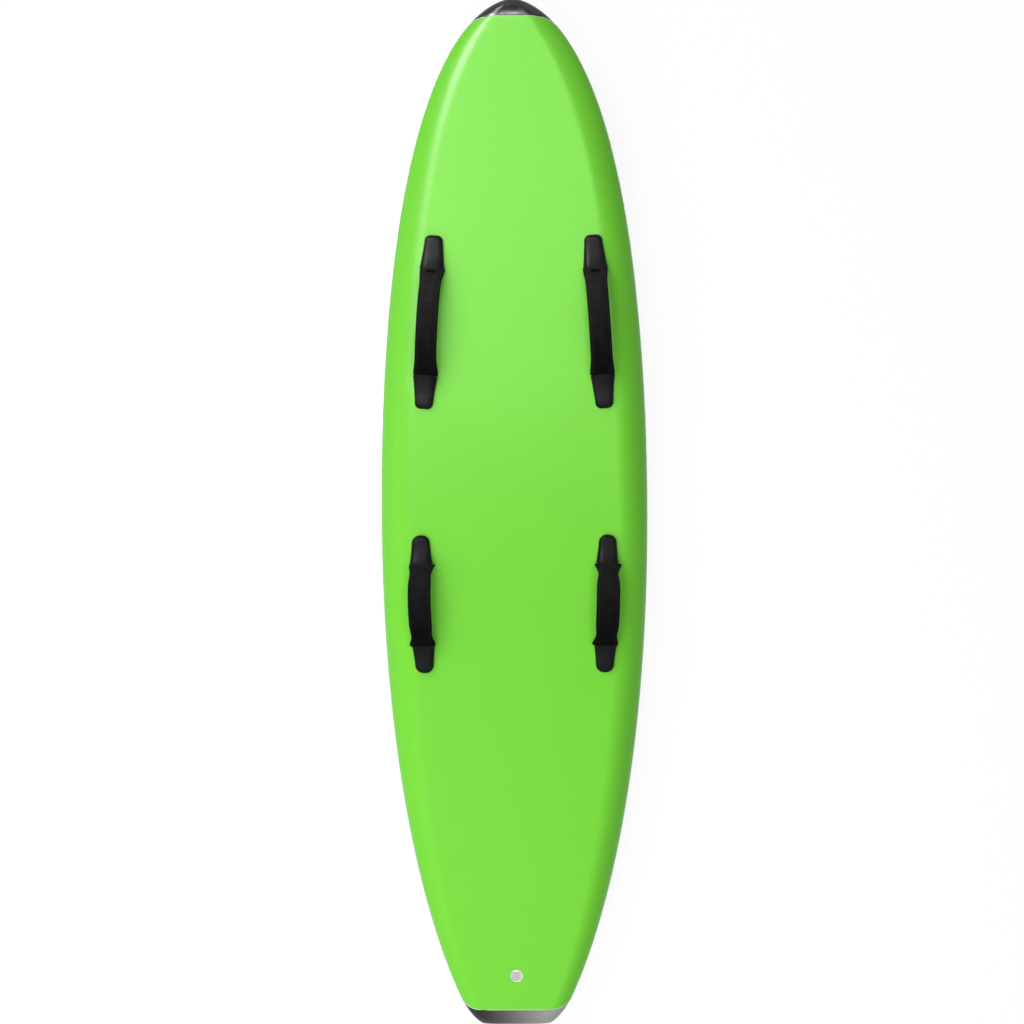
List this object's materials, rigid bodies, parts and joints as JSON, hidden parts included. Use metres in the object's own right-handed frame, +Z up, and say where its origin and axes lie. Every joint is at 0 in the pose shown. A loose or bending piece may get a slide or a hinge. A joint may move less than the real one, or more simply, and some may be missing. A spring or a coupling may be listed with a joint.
{
  "type": "nipper board",
  "caption": "Soft-top junior paddle board with a rounded nose, squared tail, padded strap handles, rubber end bumpers and a tow hole through the tail.",
  "frame": {"origin": "centre of the length and width, at the height of the level part of the bottom", "axes": "+Y along the board towards the nose, +Z up out of the deck, +X towards the right rail"},
  "size_m": [0.52, 1.98, 0.1558],
  "materials": {
    "core_foam": "matte cut foam",
    "deck_foam": "satin foam skin",
    "bottom_sheet": "smooth",
    "stringer_wood": "sawn",
    "bumper_rubber": "satin",
    "tube_plastic": "satin",
    "strap_webbing": "woven",
    "grip_neoprene": "soft matte",
    "cap_rubber": "moulded, satin",
    "stainless_steel": "turned",
    "insert_plastic": "moulded"
  },
  "bodies": {
    "board": {"foam_core": "core_foam", "deck_skin": "deck_foam", "bottom_slick": "bottom_sheet", "stringer_left": "stringer_wood", "stringer_right": "stringer_wood", "nose_bumper": "bumper_rubber", "tail_bumper": "bumper_rubber", "tow_hole_tube": "tube_plastic", "strap_front_left": "strap_webbing", "cap_front_left_nose": "cap_rubber", "screw_front_left_nose": "stainless_steel", "washer_front_left_nose": "stainless_steel", "insert_front_left_nose": "insert_plastic", "cap_front_left_tail": "cap_rubber", "screw_front_left_tail": "stainless_steel", "washer_front_left_tail": "stainless_steel", "insert_front_left_tail": "insert_plastic", "strap_front_right": "strap_webbing", "cap_front_right_nose": "cap_rubber", "screw_front_right_nose": "stainless_steel", "washer_front_right_nose": "stainless_steel", "insert_front_right_nose": "insert_plastic", "cap_front_right_tail": "cap_rubber", "screw_front_right_tail": "stainless_steel", "washer_front_right_tail": "stainless_steel", "insert_front_right_tail": "insert_plastic", "strap_rear_left": "strap_webbing", "cap_rear_left_nose": "cap_rubber", "screw_rear_left_nose": "stainless_steel", "washer_rear_left_nose": "stainless_steel", "insert_rear_left_nose": "insert_plastic", "cap_rear_left_tail": "cap_rubber", "screw_rear_left_tail": "stainless_steel", "washer_rear_left_tail": "stainless_steel", "insert_rear_left_tail": "insert_plastic", "strap_rear_right": "strap_webbing", "cap_rear_right_nose": "cap_rubber", "screw_rear_right_nose": "stainless_steel", "washer_rear_right_nose": "stainless_steel", "insert_rear_right_nose": "insert_plastic", "cap_rear_right_tail": "cap_rubber", "screw_rear_right_tail": "stainless_steel", "washer_rear_right_tail": "stainless_steel", "insert_rear_right_tail": "insert_plastic"},
    "front_left_grip": {"grip_front_left": "grip_neoprene"},
    "front_right_grip": {"grip_front_right": "grip_neoprene"},
    "rear_left_grip": {"grip_rear_left": "grip_neoprene"},
    "rear_right_grip": {"grip_rear_right": "grip_neoprene"}
  },
  "joints": [
    {"name": "front_left_grip_lean", "type": "hinge", "parent": "board", "child": "front_left_grip", "pos_m": [-0.16222, 0.37306, 0.12471], "axis": [0.0647, 0.9979, -0.0067], "range_deg": [-25, 25], "stiffness_Nm_per_rad": 0.6, "deforming": ["strap_front_left"]},
    {"name": "front_right_grip_lean", "type": "hinge", "parent": "board", "child": "front_right_grip", "pos_m": [0.16222, 0.37306, 0.12471], "axis": [-0.0647, 0.9979, -0.0067], "range_deg": [-25, 25], "stiffness_Nm_per_rad": 0.6, "deforming": ["strap_front_right"]},
    {"name": "rear_left_grip_lean", "type": "hinge", "parent": "board", "child": "rear_left_grip", "pos_m": [-0.17524, -0.16614, 0.12685], "axis": [-0.0278, 0.9995, 0.0135], "range_deg": [-25, 25], "stiffness_Nm_per_rad": 0.6, "deforming": ["strap_rear_left"]},
    {"name": "rear_right_grip_lean", "type": "hinge", "parent": "board", "child": "rear_right_grip", "pos_m": [0.17524, -0.16614, 0.12685], "axis": [0.0278, 0.9995, 0.0135], "range_deg": [-25, 25], "stiffness_Nm_per_rad": 0.6, "deforming": ["strap_rear_right"]}
  ]
}
